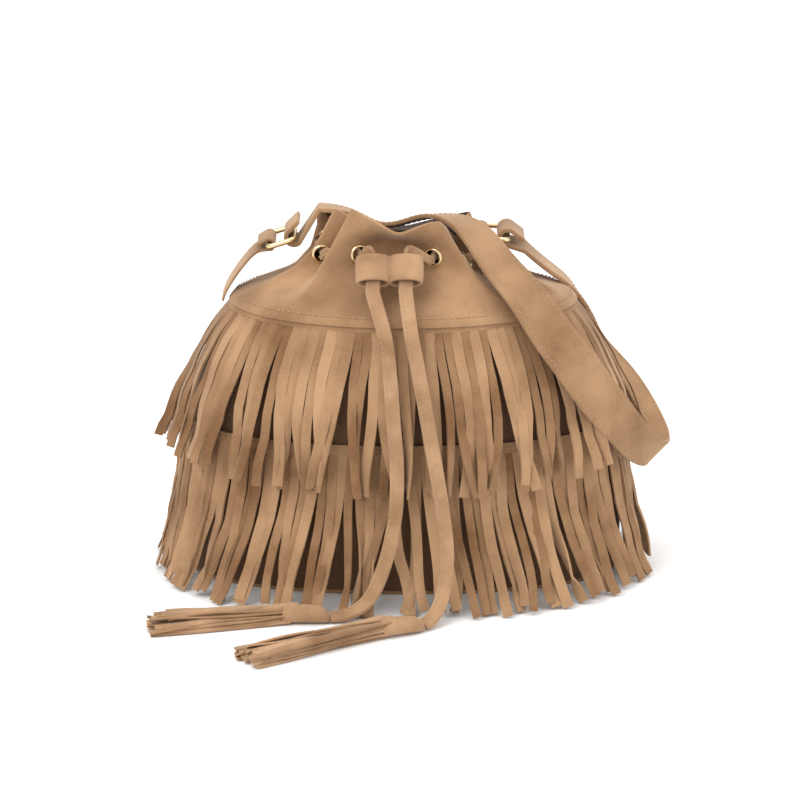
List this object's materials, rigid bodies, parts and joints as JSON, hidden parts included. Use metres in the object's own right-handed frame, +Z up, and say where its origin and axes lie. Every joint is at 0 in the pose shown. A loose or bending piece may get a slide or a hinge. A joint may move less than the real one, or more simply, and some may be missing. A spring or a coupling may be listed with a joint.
{
  "type": "fringed drawstring bag",
  "caption": "Oval suede bag with fringed walls, a gathered yoke closed by a drawstring with a sliding toggle and tassels, and one wide shoulder strap on side rings.",
  "frame": {"origin": "centre of the flat underside of the base panel", "axes": "+Z up, -Y towards the front with the toggle and tassels, +X to the side the strap hangs on"},
  "size_m": [0.3308, 0.2992, 0.2408],
  "materials": {
    "suede": "brushed suede",
    "suede_light": "brushed suede",
    "lining": "woven",
    "brass": "polished"
  },
  "bodies": {
    "bag": {"base_panel": "suede", "body_front_panel": "suede", "body_back_panel": "suede", "yoke_front": "suede", "yoke_back": "suede", "upper_fringe_front": "suede", "upper_fringe_back": "suede", "lower_fringe_front": "suede", "lower_fringe_back": "suede", "side_tab_left": "suede", "side_tab_right": "suede", "shoulder_strap": "suede", "drawstring": "suede_light", "drawstring_end_left": "suede_light", "drawstring_end_right": "suede_light", "tassel_head_left": "suede_light", "tassel_head_right": "suede_light", "tassel_left": "suede_light", "tassel_right": "suede_light", "lining": "lining", "eyelet_01": "brass", "eyelet_02": "brass", "eyelet_03": "brass", "eyelet_04": "brass", "eyelet_05": "brass", "eyelet_06": "brass", "eyelet_07": "brass", "eyelet_08": "brass", "eyelet_09": "brass", "eyelet_10": "brass", "eyelet_11": "brass", "eyelet_12": "brass"},
    "toggle": {"toggle": "suede_light"},
    "ring_left": {"ring_left": "brass"},
    "ring_right": {"ring_right": "brass"}
  },
  "joints": [
    {"name": "toggle_slide", "type": "slide", "parent": "bag", "child": "toggle", "axis": [0, -0.722, -0.6919], "range_m": [0, 0.01]},
    {"name": "ring_left_turn", "type": "hinge", "parent": "bag", "child": "ring_left", "pos_m": [-0.085, 0.01, 0.21], "axis": [0, 1, 0], "range_deg": [-2.5, 2]},
    {"name": "ring_right_turn", "type": "hinge", "parent": "bag", "child": "ring_right", "pos_m": [0.05, 0.012, 0.215], "axis": [0, 1, 0], "range_deg": [-2, 2.5]}
  ]
}
